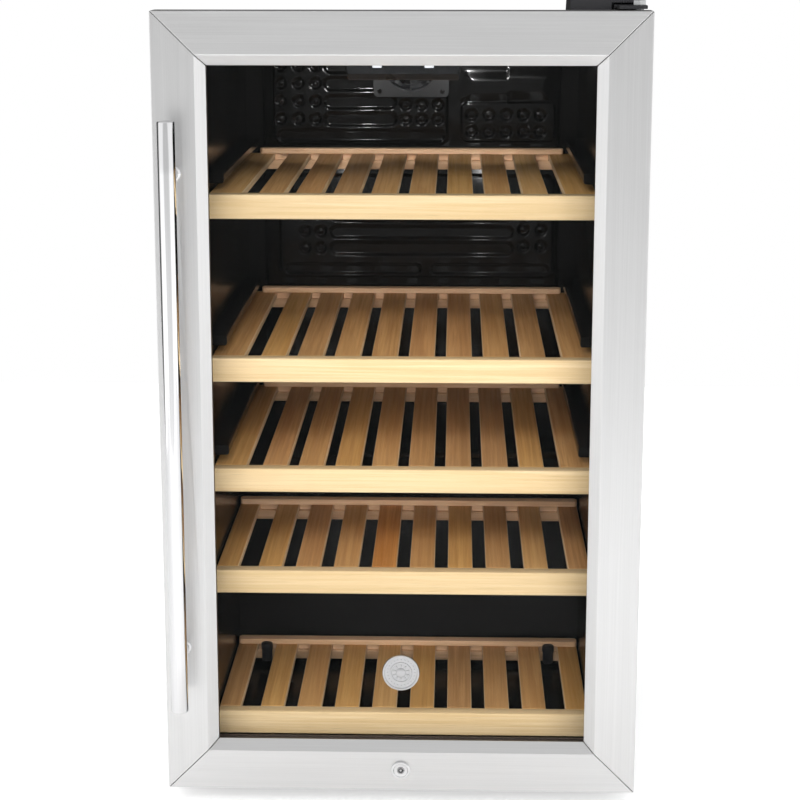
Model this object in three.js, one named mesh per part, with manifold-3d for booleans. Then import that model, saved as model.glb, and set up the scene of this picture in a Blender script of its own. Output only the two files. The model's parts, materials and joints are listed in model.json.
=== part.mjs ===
// Free-standing wine cooler: insulated cabinet, framed glass door, five sliding wooden shelves
// and the cooling parts. Millimetres; +Z up, +X right, the door faces -Y. While a piece is drawn,
// y is measured back from the door's front face; add() then puts y = 0 half-way along the depth.
import * as THREE from "three";
import { mergeVertices } from "three/addons/utils/BufferGeometryUtils.js";
import Module from "manifold-3d";

const wasm = await Module();
wasm.setup();
const { Manifold, Mesh } = wasm;

// ---- driving dimensions -------------------------------------------------------------
const GAP = 0.3;                 // clearance between touching pieces
const MID_Y = 219;               // half-way along the depth

const DOOR_HALF = 222;           // half the door's width
const DOOR_LOW = 22;             // underside of the door, above the floor
const DOOR_TOP = 756;
const DOOR_D = 40;               // door without its gasket
const STRIP_W = 48.6;            // visible width of the steel frame
const STRIP_D = 26;
const BEVEL_W = 10;              // bevel round the window
const BEVEL_D = 8;
const REBATE = 28.5;             // width of a strip behind its bevel, beside the glass

const CAB_HALF = 221;
const CAB_FRONT = 52;
const CAB_REAR = 474;
const CAB_TOP = 738;             // hidden behind the door's top edge
const SHEET = 1.5;
const FLANGE = 18;               // front lip that the gasket closes on
const PANEL_LOW = 236;           // where the rear panel meets the machine cover

const CAVITY_HALF = 183.5;
const CAVITY_FLOOR = 49;
const CAVITY_TOP = 716;
const CAVITY_REAR = 430;
const LINER_T = 2;

const HINGE = [211.5, 31];       // x and y of the door's axis
const HINGE_TOP = 760;           // top of the upper hinge arm
const PLATE_T = 3;               // hinge plates
const PIN_R = 4;
const HANDLE_X = -204.5;
const HANDLE_Y = -34;
const HANDLE_R = 8;
const HANDLE_ENDS = [114, 662];
const HANDLE_POSTS = { upper: 612, lower: 164 };
const BADGE_Z = 138;
const BADGE_R = 17.7;
const LOCK_Z = 42.6;
const LOCK_R = 7.5;

const FEET = [[-185, 90], [185, 90], [-185, 440], [185, 440]];
const FAN_Z = 684;
const LAMP_X = 24;
const KEY_Y = 112;
const KEYS = { cooler: -24, warmer: 0, light: 24 };

// z is the top of the slats; slot and pitch space them, and out is the wide slot near each side
const SHELF_HALF = 181.5;
const RAIL_Y = 63;
const RAIL_D = 15;
const RAIL_H = 23;
const SLAT_T = 7;
const CROSS_HALF = 167;
const CROSS_D = 14;
const CROSS_H = 10;
const REAR_D = 12.5;
const REAR_H = 6;
const RIB_X = 168.5;             // inner edge of the ribs that carry the shelves
const WIDE = { len: 344.7, rear: 167, slot: 10.7, pitch: 35.4, out: [135.5, 151] };
const STEPPED = { rear: 181.5, slot: 13, pitch: 37.1, out: [141.1, 160.5] };
const SHELVES = [
  { ...WIDE, z: 585.1 },
  { ...WIDE, z: 429.4 },
  { ...WIDE, z: 321.4 },
  { ...STEPPED, z: 219.5, len: 221 },
  { ...STEPPED, z: 74.5, len: 183 },
];

const STEEL = 0xd9dadb;
const GREY = 0x8c8e91;
const DARK = 0x1c1c1f;
const BLACK = 0x101012;
const PALE_WOOD = 0xf0d9a8;
const MID_WOOD = 0xc08a5a;
const REAR_WOOD = 0xb9874f;

// ---- helpers ------------------------------------------------------------------------
function solid(geometry) {
  const g = geometry.clone();
  for (const name of Object.keys(g.attributes)) if (name !== "position") g.deleteAttribute(name);
  const merged = mergeVertices(g, 1e-4);
  const p = merged.attributes.position.array;
  const index = merged.index.array;
  const corner = (i) => new THREE.Vector3().fromArray(p, 3 * i);
  const triangles = [];
  let volume = 0;
  for (let i = 0; i < index.length; i += 3) {
    const [a, b, c] = index.slice(i, i + 3);
    if (a === b || b === c || a === c) continue;
    triangles.push(a, b, c);
    volume += corner(a).dot(corner(b).cross(corner(c)));
  }
  if (volume < 0) triangles.reverse();
  return new Manifold(new Mesh({
    numProp: 3, vertProperties: new Float32Array(p), triVerts: new Uint32Array(triangles) }));
}
const join = (...list) => list.flat().reduce((a, b) => a.add(b));
const cut = (base, ...list) => list.flat().reduce((a, b) => a.subtract(b), base);

function box(x0, x1, y0, y1, z0, z1) {
  const g = new THREE.BoxGeometry(x1 - x0, y1 - y0, z1 - z0);
  return solid(g.translate((x0 + x1) / 2, (y0 + y1) / 2, (z0 + z1) / 2));
}

// turns a shape drawn along z so that it runs along another axis
const TURN = {
  x: ([x, y, z]) => [z, x, y],
  y: ([x, y, z]) => [y, z, x],
  z: (point) => point,
};
function remap(g, f) {
  const p = g.attributes.position;
  for (let i = 0; i < p.count; i++) p.setXYZ(i, ...f([p.getX(i), p.getY(i), p.getZ(i)]));
  return g;
}

// prism along an axis; points are (y, z) for x, (x, z) for y and (x, y) for z
function prism(axis, points, from, to, warp = (point) => point) {
  const flat = points.map(([a, b]) => (axis === "y" ? new THREE.Vector2(b, a) : new THREE.Vector2(a, b)));
  const g = new THREE.ExtrudeGeometry(new THREE.Shape(flat), { depth: to - from, bevelEnabled: false });
  g.translate(0, 0, from);
  return solid(remap(g, (point) => warp(TURN[axis](point))));
}

// cylinder or cone along an axis; at is the two coordinates across it
function rod(axis, [a, b], r0, from, to, n = 24, r1 = r0) {
  const g = new THREE.CylinderGeometry(r1, r0, to - from, n);
  g.rotateX(Math.PI / 2).translate(0, 0, (from + to) / 2);
  const centre = { x: [0, a, b], y: [a, 0, b], z: [a, b, 0] }[axis];
  return solid(remap(g, TURN[axis]).translate(...centre));
}

// (radius, height) profile turned about an upright axis
function lathe(profile, n, [cx, cy], z0) {
  const g = new THREE.LatheGeometry(profile.map(([r, z]) => new THREE.Vector2(r, z)), n);
  return solid(g.rotateX(Math.PI / 2).translate(cx, cy, z0));
}

// flat ring, or a frame between two rectangles, along y
const washer = (x, z, outer, inner, y0, y1, n) =>
  cut(rod("y", [x, z], outer, y0, y1, n), rod("y", [x, z], inner, y0 - 1, y1 + 1, n));
const frame = (x, y0, y1, z0, z1, w, low = w) =>
  cut(box(-x, x, y0, y1, z0, z1), box(-x + w, x - w, y0 - 1, y1 + 1, z0 + low, z1 - w));

// round tube swept along a list of points
function sweep(points, r, n = 8) {
  const path = points.map((p) => new THREE.Vector3(...p));
  const last = path.length - 1;
  const vertices = [];
  const index = [];
  const normal = new THREE.Vector3(0, 0, 1);
  path.forEach((p, i) => {
    const along = path[Math.min(i + 1, last)].clone().sub(path[Math.max(i - 1, 0)]).normalize();
    if (i === 0 && Math.abs(normal.dot(along)) > 0.9) normal.set(1, 0, 0);
    normal.addScaledVector(along, -normal.dot(along)).normalize();
    const side = new THREE.Vector3().crossVectors(along, normal);
    for (let k = 0; k < n; k++) {
      const a = (2 * Math.PI * k) / n;
      const q = p.clone().addScaledVector(normal, r * Math.cos(a)).addScaledVector(side, r * Math.sin(a));
      vertices.push(...q);
    }
  });
  vertices.push(...path[0], ...path[last]);
  const start = path.length * n;
  for (let k = 0; k < n; k++) {
    const j = (k + 1) % n;
    for (let i = 0; i < last; i++) {
      const [p, q] = [i * n + k, i * n + j];
      index.push(p, q, q + n, p, q + n, p + n);
    }
    index.push(start, j, k, start + 1, last * n + k, last * n + j);
  }
  const g = new THREE.BufferGeometry();
  g.setAttribute("position", new THREE.Float32BufferAttribute(vertices, 3));
  g.setIndex(index);
  return solid(g);
}

// rectangle with rounded corners, as points
function rounded(x0, x1, y0, y1, r, n = 4) {
  const corners = [[x1 - r, y0 + r, -90], [x1 - r, y1 - r, 0], [x0 + r, y1 - r, 90], [x0 + r, y0 + r, 180]];
  return corners.flatMap(([cx, cy, from]) => Array.from({ length: n + 1 }, (_, i) => {
    const a = THREE.MathUtils.degToRad(from + (90 * i) / n);
    return [cx + r * Math.cos(a), cy + r * Math.sin(a)];
  }));
}

const root = new THREE.Group();
root.name = "wine_cooler";
function add(name, body, color, roughness = 0.5, metalness = 0, opacity = 1) {
  const { vertProperties, triVerts } = body.getMesh();
  const g = new THREE.BufferGeometry();
  g.setAttribute("position", new THREE.BufferAttribute(new Float32Array(vertProperties), 3));
  g.setIndex(new THREE.BufferAttribute(new Uint32Array(triVerts), 1));
  const material = new THREE.MeshStandardMaterial({
    color, roughness, metalness, opacity, transparent: opacity < 1 });
  const mesh = new THREE.Mesh(g, material);
  mesh.name = name;
  mesh.position.y = -MID_Y;
  root.add(mesh);
}

// ---- cabinet ------------------------------------------------------------------------
// folded sheet round the sides and top, with a lip round the front
const portal = (w) => [
  [-CAB_HALF, DOOR_LOW], [-CAB_HALF, CAB_TOP], [CAB_HALF, CAB_TOP], [CAB_HALF, DOOR_LOW],
  [CAB_HALF - w, DOOR_LOW], [CAB_HALF - w, CAB_TOP - w],
  [-CAB_HALF + w, CAB_TOP - w], [-CAB_HALF + w, DOOR_LOW]];
add("outer_wrap", join(prism("y", portal(SHEET), CAB_FRONT, CAB_REAR),
  prism("y", portal(FLANGE), CAB_FRONT, CAB_FRONT + SHEET)), DARK, 0.5, 0.3);

// inside of the wrap, less a little clearance
const INNER = CAB_HALF - SHEET;
const INNER_TOP = CAB_TOP - SHEET - GAP;

const SWAGE_HALF = 60;           // half width of each stiffening swage
add("rear_panel", join(
  box(-INNER, INNER, CAB_REAR + GAP, CAB_REAR + SHEET, PANEL_LOW, CAB_TOP - 1),
  [-95, 95].map((x) => prism("y", rounded(x - SWAGE_HALF, x + SWAGE_HALF, 300, 682, 14),
    CAB_REAR + 1.2, CAB_REAR + 3))), DARK, 0.6, 0.3);

const PAN_HALF = INNER - GAP;
const PAN_TOP = DOOR_LOW + 1.6;
const TONGUE = CAB_HALF - FLANGE - 0.4;
add("base_pan", cut(
  join(box(-PAN_HALF, PAN_HALF, CAB_FRONT + 1.8, CAB_REAR, DOOR_LOW, PAN_TOP),
    box(-TONGUE, TONGUE, CAB_FRONT, CAB_FRONT + 5, DOOR_LOW, PAN_TOP),
    box(-TONGUE, TONGUE, CAB_FRONT, CAB_FRONT + SHEET, DOOR_LOW, CAVITY_FLOOR - LINER_T - 0.4),
    box(-PAN_HALF, PAN_HALF, CAB_REAR - SHEET, CAB_REAR, DOOR_LOW, DOOR_LOW + 10)),
  FEET.slice(0, 2).map((at) => rod("z", at, 4.4, 10, 30, 20)),
  [-98, -78, -58, -38, -18].map((x) => prism("z", rounded(x - 2, x + 2, 370, 440, 1.9), 20, 30))),
GREY, 0.5, 0.6);

// one moulded liner, stepped over the machine compartment; STEP lists its (y, z) corners
const STEP = [[266, CAVITY_FLOOR], [304, 205], [304, PANEL_LOW], [330, 262]];
const cavityFrom = (y) => [
  [y, CAVITY_FLOOR], ...STEP, [CAVITY_REAR, 262], [CAVITY_REAR, CAVITY_TOP], [y, CAVITY_TOP]];
// the same outline moved out by t, so that a wall of that thickness is left
const outsideOf = (y, t) => [[y, CAVITY_FLOOR - t], [266 + 0.8 * t, CAVITY_FLOOR - t], [304 + t, 205 - 0.1 * t],
  [304 + t, PANEL_LOW - 0.4 * t], [330 + 0.4 * t, 262 - t], [CAVITY_REAR + t, 262 - t],
  [CAVITY_REAR + t, CAVITY_TOP + t], [y, CAVITY_TOP + t]];
const linerFront = CAB_FRONT + SHEET + GAP;
const shelfEnd = (shelf) => RAIL_Y + RAIL_D + GAP + shelf.len;
function shelfRibs(shelf, side) {
  const wall = side * (CAVITY_HALF + 1);
  const edge = side * RIB_X;
  const top = shelf.z - SLAT_T - GAP;
  const slope = [[wall, top], [edge, top], [edge, top - 6], [wall, top - 9]];
  const carrier = prism("y", slope, 82, shelfEnd(shelf) - 2);
  if (shelf.rear > RIB_X) return [carrier];
  const [low, high] = [wall, edge].sort((a, b) => a - b);
  const guide = prism("y", rounded(low, high, shelf.z + 8, shelf.z + 18, 2, 2), 84, shelfEnd(shelf) - 8);
  return [carrier, guide];
}
add("liner", join(
  cut(join(prism("x", outsideOf(linerFront, LINER_T), -CAVITY_HALF - LINER_T, CAVITY_HALF + LINER_T),
    box(-INNER + 0.5, INNER - 0.5, linerFront, linerFront + LINER_T, DOOR_LOW + 2, INNER_TOP)),
  prism("x", cavityFrom(CAB_FRONT - 12), -CAVITY_HALF, CAVITY_HALF)),
  SHELVES.flatMap((shelf) => [...shelfRibs(shelf, -1), ...shelfRibs(shelf, 1)])), BLACK, 0.35);

const foamFront = linerFront + LINER_T + GAP;
const foamOuter = [[foamFront, 24.3], [296, 24.3], [334, 208], [334, PANEL_LOW + GAP],
  [CAB_REAR - GAP, PANEL_LOW + GAP], [CAB_REAR - GAP, INNER_TOP], [foamFront, INNER_TOP]];
const linerSpace = CAVITY_HALF + LINER_T + GAP;
add("foam_insulation", cut(prism("x", foamOuter, -INNER + 0.5, INNER - 0.5),
  prism("x", outsideOf(CAB_FRONT - 12, LINER_T + GAP + 0.1), -linerSpace, linerSpace),
  FEET.slice(0, 2).map((at) => rod("z", at, 6, 20, 46, 16))), 0xe8d9a0, 0.9);

const louvres = [70, 140].flatMap((z) => Array.from({ length: 11 }, (_, i) => {
  const x = -150 + 30 * i;
  return prism("y", rounded(x - 5, x + 5, z - 26, z + 26, 4.9, 2), CAB_REAR - 4, CAB_REAR + 6);
}));
add("machine_cover", cut(box(-INNER, INNER, CAB_REAR + GAP, CAB_REAR + 1.8, 33, PANEL_LOW - 0.4), louvres),
  DARK, 0.6, 0.3);
add("power_inlet", join(box(160, 196, CAB_REAR + 2.1, CAB_REAR + 6, 46, 70),
  rod("y", [178, 58], 7, CAB_REAR + 3, CAB_REAR + 5.8, 20)), BLACK, 0.5);

// ---- cooling parts ------------------------------------------------------------------
const COMPRESSOR = [105, 405];
const [PUMP_X, PUMP_Y] = COMPRESSOR;
const SUCTION_X = 32;
const can = [[0, 0], [50, 0], [60, 5], [62, 12], [62, 62], [61, 66], [62.5, 68], [62.5, 72],
  [61, 74], [59, 96], [50, 112], [32, 122], [0, 125]];
add("compressor", join(lathe(can, 28, COMPRESSOR, 30.3),
  prism("z", rounded(PUMP_X - 75, PUMP_X + 75, 362, 448, 10), 27.3, 32.3),
  [[42, 374], [168, 374], [42, 436], [168, 436]].map((at) => rod("z", at, 7, 24, 28, 14)),
  box(PUMP_X + 58, PUMP_X + 81, PUMP_Y - 20, PUMP_Y + 20, 60, 105),
  sweep([[60, PUMP_Y, 90], [SUCTION_X + 6, PUMP_Y, 92], [SUCTION_X, PUMP_Y, 104], [SUCTION_X, PUMP_Y, 150]], 3.2)),
BLACK, 0.35, 0.4);

// serpentine condenser in two rows, the rear row climbing and the front row coming back down
const COIL_X = [-200, 12];
const COIL_RUNS = 6;
const COIL_PITCH = 25;
const COIL_ROWS = [446, 414];
const coil = [];
COIL_ROWS.forEach((y, row) => {
  for (let i = 0; i < COIL_RUNS; i++) {
    const z = 46 + COIL_PITCH * (row ? COIL_RUNS - 1 - i : i);
    const leftFirst = (i + row * COIL_RUNS) % 2 === 0;
    const [start, end] = leftFirst ? COIL_X : [...COIL_X].reverse();
    const out = Math.sign(end - start);
    coil.push([start, y, z], [end, y, z]);
    if (i < COIL_RUNS - 1) {
      const r = COIL_PITCH / 2;
      for (const a of [-60, -20, 20, 60].map(THREE.MathUtils.degToRad)) {
        coil.push([end + out * r * Math.cos(a), y, z + (row ? -1 : 1) * r * (1 + Math.sin(a))]);
      }
    } else if (!row) {
      const r = (COIL_ROWS[0] - COIL_ROWS[1]) / 2;
      for (const a of [-50, 0, 50].map(THREE.MathUtils.degToRad)) {
        coil.push([end + out * (r - 2) * Math.cos(a), y - r * (1 + Math.sin(a)), z]);
      }
    }
  }
});
add("condenser_coil", sweep(coil, 2.8), 0x2a2a2c, 0.4, 0.6);
add("filter_drier", lathe([[0, 0], [2.5, 0], [2.5, 8], [9, 16], [9, 70], [2.5, 78], [2.5, 86], [0, 86]],
  16, [178, 458], 112), 0xb87333, 0.35, 0.9);
add("drip_tray", join(cut(prism("z", rounded(52, 158, 358, 452, 8), 160, 178),
  prism("z", rounded(54, 156, 360, 450, 7), 162, 190)), rod("z", COMPRESSOR, 12, 155.7, 161, 16)), BLACK, 0.5);

// roll-bonded evaporator plate on the rear wall, with its bubbles and raised channels
const PLATE_Y = 426.5;
const bubble = ([x, z]) => rod("y", [x, z], 5, PLATE_Y - 2.2, PLATE_Y + 0.5, 12, 7);
const grid = (xs, zs) => xs.flatMap((x) => zs.map((z) => [x, z]));
const channel = (x0, x1, z, w = 8) =>
  prism("y", rounded(x0, x1, z - w / 2, z + w / 2, w / 2.04, 3), PLATE_Y - 1.8, PLATE_Y + 0.5);
const bubbles = [
  ...grid([-144.5, -125, -106], [661.3, 641.7, 622.1]), ...grid([-6.5, 11, 29], [638, 622]),
  ...grid([66.3, 85.2, 104.5, 123.4, 141.5], [627.2, 609]), ...grid([-119, -101.6], [497, 478]),
  ...grid([125, 144.3], [499.4, 481])].map(bubble);
const channels = [
  channel(-97, -16, 640.5, 9), channel(-97, -16, 623, 9), channel(-97, -48, 661, 14),
  channel(-152, 38, 604.5, 13),
  ...[508, 495, 482, 466.5].map((z) => channel(-90, 112, z)),
  channel(23, 154, 452.5, 13), channel(-145, 14, 452.5, 13)];
const header = prism("y", [[62, 643], [158, 643], [150, 674], [70, 674]], PLATE_Y - 1.8, PLATE_Y + 0.5);
add("evaporator_plate", join(box(-164, 164, PLATE_Y, PLATE_Y + 3, 300, 690), bubbles, channels, header),
  0x17181c, 0.15, 0.5);

// circulation fan: grille, frame and rotor
const FAN_Y = 398;
const spokes = [0, 45, 90, 135].map((a) => {
  const g = new THREE.BoxGeometry(60, 2.4, 1.8).translate(0, 1.2, 0).rotateY(THREE.MathUtils.degToRad(a));
  return solid(g.translate(0, FAN_Y, FAN_Z));
});
const face = cut(prism("y", rounded(-41, 41, 649, 715, 5), FAN_Y, FAN_Y + 5),
  rod("y", [0, FAN_Z], 29, 390, 410, 40));
add("fan_grille", cut(
  join(face, rod("y", [0, FAN_Z], 8, FAN_Y, FAN_Y + 3, 24), spokes,
    [15, 22].map((r) => washer(0, FAN_Z, r + 0.8, r - 0.8, FAN_Y, FAN_Y + 2.4, 32))),
  [-34, 34].map((x) => rod("y", [x, 655], 2.2, 390, 410, 12))), BLACK, 0.4);
add("fan_frame", join(
  cut(prism("y", rounded(-33, 33, 650.5, 714, 4), FAN_Y + 5.3, 424), rod("y", [0, FAN_Z], 28, 400, 421.5, 40)),
  rod("y", [0, FAN_Z], 9, 417, 423, 24)), DARK, 0.5);
const BLADES = 7;
const blades = Array.from({ length: BLADES }, (_, i) => {
  const g = new THREE.BoxGeometry(17, 1.2, 11).rotateX(0.6).translate(17.5, 0, 0);
  return solid(g.rotateY((2 * Math.PI * i) / BLADES).translate(0, 410, FAN_Z));
});
add("fan_rotor", join(rod("y", [0, FAN_Z], 10.5, 405, 416, 24), blades), 0x222226, 0.4);

// control housing under the ceiling, with two lamps in its face and three keys under it
const HOUSING_LOW = 690;
const ceiling = CAVITY_TOP - GAP;
const housing = [[72, ceiling], [75, 696], [81, HOUSING_LOW], [178, HOUSING_LOW], [190, 702], [190, ceiling]];
const flare = ([x, y, z]) => [x * (1 + (z - HOUSING_LOW) * 0.0027), y, z];
add("control_housing", cut(prism("x", housing, -51, 51, flare),
  [-LAMP_X, LAMP_X].map((x) => box(x - 4.5, x + 4.5, 60, 79, 701.3, 705.7)),
  Object.values(KEYS).map((x) => rod("z", [x, KEY_Y], 6.3, 680, 694, 20))), BLACK, 0.3);
for (const [side, x] of [["left", -LAMP_X], ["right", LAMP_X]]) {
  const lens = [[73.6, 701.6], [78.7, 701.6], [78.7, 705.4], [73, 705.4]];
  add(`lamp_lens_${side}`, prism("x", lens, x - 4.2, x + 4.2), 0xf4f6ff, 0.2);
}
for (const [name, x] of Object.entries(KEYS)) {
  add(`button_${name}`, join(rod("z", [x, KEY_Y], 6, HOUSING_LOW - 1, 692.4, 20),
    rod("z", [x, KEY_Y], 4.8, HOUSING_LOW - 1.7, HOUSING_LOW - 0.8, 20)), 0x3a3b3e, 0.4);
}

// ---- hinges, keeper and feet --------------------------------------------------------
const armLow = CAB_TOP + GAP;
const arm = join(box(158, 208, 58, 118, armLow, armLow + PLATE_T),
  box(190, 208, 56, 59, armLow, HINGE_TOP), box(190, 208, 40, 59, HINGE_TOP - PLATE_T, HINGE_TOP),
  prism("z", rounded(192, 218.5, 19, 59, 6), HINGE_TOP - PLATE_T, HINGE_TOP));
add("top_hinge_bracket", cut(arm, rod("z", HINGE, PIN_R + GAP, 750, 770, 24),
  [[170, 105], [196, 105], [170, 75]].map((at) => rod("z", at, 2.5, CAB_TOP - 5, armLow + 5, 12))),
DARK, 0.4, 0.6);
const coverOut = [[50, armLow], [50, 766.5], [54, 768.6], [112, 766.5], [126, 750], [126, armLow]];
const coverIn = [[53, armLow - 6], [53, 765], [111, 763.5], [123, 748], [123, armLow - 6]];
add("top_hinge_cover", cut(prism("x", coverOut, 151, 214), prism("x", coverIn, 154, 211.4),
  box(189, 222, 45, 62, HINGE_TOP - 4, HINGE_TOP + 1),
  box(189, 209, 45, 62, armLow - 6, HINGE_TOP + 1)), BLACK, 0.5);
add("top_hinge_pin", join(rod("z", HINGE, PIN_R, 736.5, 761, 24),
  rod("z", HINGE, 6.2, HINGE_TOP + GAP, 764.5, 6)), GREY, 0.3, 0.8);
add("bottom_hinge_bracket", join(
  prism("z", rounded(203.5, 219, 20, 140, 6), DOOR_LOW - GAP - PLATE_T, DOOR_LOW - GAP),
  rod("z", HINGE, PIN_R, 20, 40, 24)), GREY, 0.4, 0.7);
add("lock_keeper", join(box(-12, 12, 50.2, 51.7, 24.5, 36), box(-8, 8, 41.5, 51.7, 24.5, 26.5),
  box(-8, 8, 41.5, 43.5, 24.5, 33)), GREY, 0.4, 0.8);

function levellingFoot(at) {
  return join(rod("z", at, 14, 0, 3, 28, 15), rod("z", at, 15, 3, 11, 28), rod("z", at, 4, 10, 40, 20),
    rod("z", at, 8, 11, 16, 6));
}
function rearFoot(at) {
  return join(rod("z", at, 13, 0, 4, 28, 14), rod("z", at, 14, 4, DOOR_LOW - GAP, 28, 11));
}
FEET.forEach((at, i) => {
  const side = at[0] < 0 ? "left" : "right";
  if (i < 2) add(`levelling_foot_${side}`, levellingFoot(at), BLACK, 0.6);
  else add(`rear_foot_${side}`, rearFoot(at), BLACK, 0.6);
});

// ---- door ---------------------------------------------------------------------------
// section of a steel strip: u is measured in from the door's edge, v back from its face
const section = [
  [0, 0], [STRIP_W - BEVEL_W, 0], [STRIP_W, BEVEL_D], [REBATE, BEVEL_D], [REBATE, STRIP_D], [0, STRIP_D]];
function strip(length, place) {
  const shape = new THREE.Shape(section.map(([u, v]) => new THREE.Vector2(u, v)));
  const g = new THREE.ExtrudeGeometry(shape, { depth: 1, bevelEnabled: false });
  const mitre = ([u, v, end]) => place((end < 0.5 ? -1 : 1) * (length / 2 - u - GAP * 0.7), u, v);
  return solid(remap(g, mitre));
}
const across = 2 * DOOR_HALF;
const upright = DOOR_TOP - DOOR_LOW;
const midZ = (DOOR_TOP + DOOR_LOW) / 2;
const lockHole = (y0, y1) => rod("y", [0, LOCK_Z], LOCK_R + GAP, y0, y1, 32);
const postZ = Object.values(HANDLE_POSTS);
add("frame_strip_top", strip(across, (s, u, v) => [s, v, DOOR_TOP - u]), STEEL, 0.3, 1);
add("frame_strip_bottom", cut(strip(across, (s, u, v) => [s, v, DOOR_LOW + u]), lockHole(-5, 30)),
  STEEL, 0.3, 1);
add("frame_strip_left", cut(strip(upright, (s, u, v) => [-DOOR_HALF + u, v, midZ + s]),
  postZ.map((z) => rod("y", [HANDLE_X, z], 3.3, -5, 12, 16))), STEEL, 0.3, 1);
add("frame_strip_right", strip(upright, (s, u, v) => [DOOR_HALF - u, v, midZ + s]), STEEL, 0.3, 1);

const tucked = DOOR_HALF - 0.5;
add("door_inner_frame", cut(
  box(-tucked, tucked, STRIP_D + GAP, DOOR_D, DOOR_LOW + 0.5, DOOR_TOP - 0.5),
  box(-177, 177, 20, 50, 57.5, 710), lockHole(20, 50),
  [[735, 760], [20, 42]].map(([z0, z1]) => rod("z", HINGE, PIN_R + GAP, z0, z1, 24))), 0x3c3733, 0.5);

// sealed unit: two panes with a spacer between them, set in the strips' rebate
const GLASS_T = 4;
const SPACER_T = 8;
const glassPane = (y0, y1, margin = 0) => {
  const inset = REBATE + GAP + margin;
  return box(-DOOR_HALF + inset, DOOR_HALF - inset, y0, y1, DOOR_LOW + inset, DOOR_TOP - inset);
};
const outerY = BEVEL_D + GAP;
const spacerY = outerY + GLASS_T + GAP;
const innerY = spacerY + SPACER_T + GAP;
add("glass_outer", glassPane(outerY, outerY + GLASS_T), 0x50585c, 0.05, 0, 0.3);
add("glass_spacer", cut(glassPane(spacerY, spacerY + SPACER_T), glassPane(spacerY - 1, innerY, 6)),
  0x9a9c9f, 0.4, 0.8);
add("glass_inner", glassPane(innerY, innerY + GLASS_T), 0x50585c, 0.05, 0, 0.3);

// bellows gasket: its foot in the inner frame, a narrower fold, and the magnetic face
const SEAL_TOP = 735;
add("door_gasket", join(
  frame(207.5, DOOR_D + GAP, 43, 47, SEAL_TOP, 12, 9),
  frame(205, 42.5, 48, 49, SEAL_TOP - 2.5, 7, 5),
  frame(207.5, 47.5, CAB_FRONT - 0.6, 47, SEAL_TOP, 12, 9)), 0x1a1a1a, 0.8);

const [barLow, barHigh] = HANDLE_ENDS;
add("handle_bar", cut(join(rod("z", [HANDLE_X, HANDLE_Y], HANDLE_R, barLow + 1, barHigh - 1, 40),
  rod("z", [HANDLE_X, HANDLE_Y], HANDLE_R, barHigh - 1, barHigh, 40, HANDLE_R - 1),
  rod("z", [HANDLE_X, HANDLE_Y], HANDLE_R - 1, barLow, barLow + 1, 40, HANDLE_R)),
postZ.map((z) => rod("y", [HANDLE_X, z], 3.3, HANDLE_Y - 2, -20, 16))), STEEL, 0.15, 1);
for (const [place, z] of Object.entries(HANDLE_POSTS)) {
  const stud = (y0, y1) => rod("y", [HANDLE_X, z], 3, y0, y1, 16);
  const collar = join(rod("y", [HANDLE_X, z], 5.5, HANDLE_Y + HANDLE_R + 0.4, -GAP, 24), stud(HANDLE_Y - 1, 10));
  const clear = rod("z", [HANDLE_X, HANDLE_Y], HANDLE_R + GAP, z - 20, z + 20, 40);
  add(`handle_post_${place}`, join(cut(collar, clear), stud(HANDLE_Y - 1, -20)), STEEL, 0.2, 1);
}

add("badge", join(
  rod("y", [0, BADGE_Z], BADGE_R, 7.2, 8, 48), washer(0, BADGE_Z, BADGE_R, 15.6, 6.2, 7.4, 48),
  washer(0, BADGE_Z, 10.5, 8.8, 6.5, 7.4, 40), rod("y", [0, BADGE_Z], 4.5, 6.5, 7.4, 28, 3.8)),
0xd8d8d8, 0.2, 1);
add("lock_barrel", cut(
  join(rod("y", [0, LOCK_Z], LOCK_R, -0.5, DOOR_D - 0.1, 32), rod("y", [0, LOCK_Z], 9.2, -2, -GAP, 40, 9.4)),
  rod("y", [0, LOCK_Z], 3.5, -5, 45, 24), rod("y", [0, LOCK_Z], 6.4, -5, -1.1, 32)), STEEL, 0.2, 1);
add("lock_cylinder", join(
  cut(rod("y", [0, LOCK_Z], 3.2, -1.4, 47.5, 24), box(-0.45, 0.45, -3, 2, LOCK_Z - 2.2, LOCK_Z + 2.2)),
  prism("y", rounded(-14, 3.4, LOCK_Z - 3.4, LOCK_Z + 3.4, 3.2), 45, 47.5)), GREY, 0.3, 0.9);

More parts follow.
